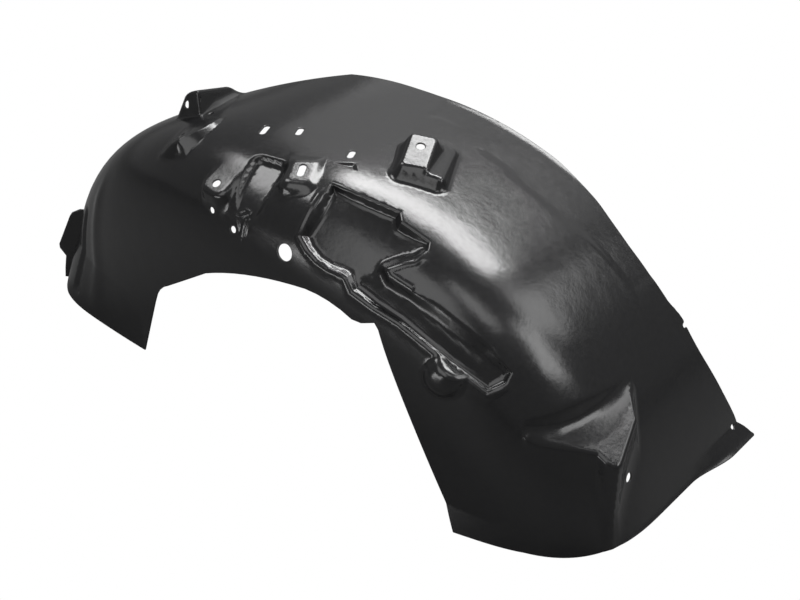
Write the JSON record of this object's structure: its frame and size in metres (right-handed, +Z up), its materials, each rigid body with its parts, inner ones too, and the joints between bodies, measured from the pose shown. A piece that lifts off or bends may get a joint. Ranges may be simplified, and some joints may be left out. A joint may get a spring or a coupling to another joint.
{
  "type": "wheel arch liner",
  "caption": "Formed black plastic liner that follows a car's wheel arch, with a wall on one side, raised pads, a sunk panel, clip holes and flared feet.",
  "frame": {"origin": "middle of the liner's bounding box seen from above, at the level of its two feet", "axes": "+X along the car towards the rear foot, +Y across the car towards the outside, +Z up"},
  "size_m": [1.0292, 0.3886, 0.4069],
  "materials": {
    "black_plastic": "satin to gloss moulded black"
  },
  "bodies": {
    "root": {"arch_liner": "black_plastic"}
  },
  "joints": []
}
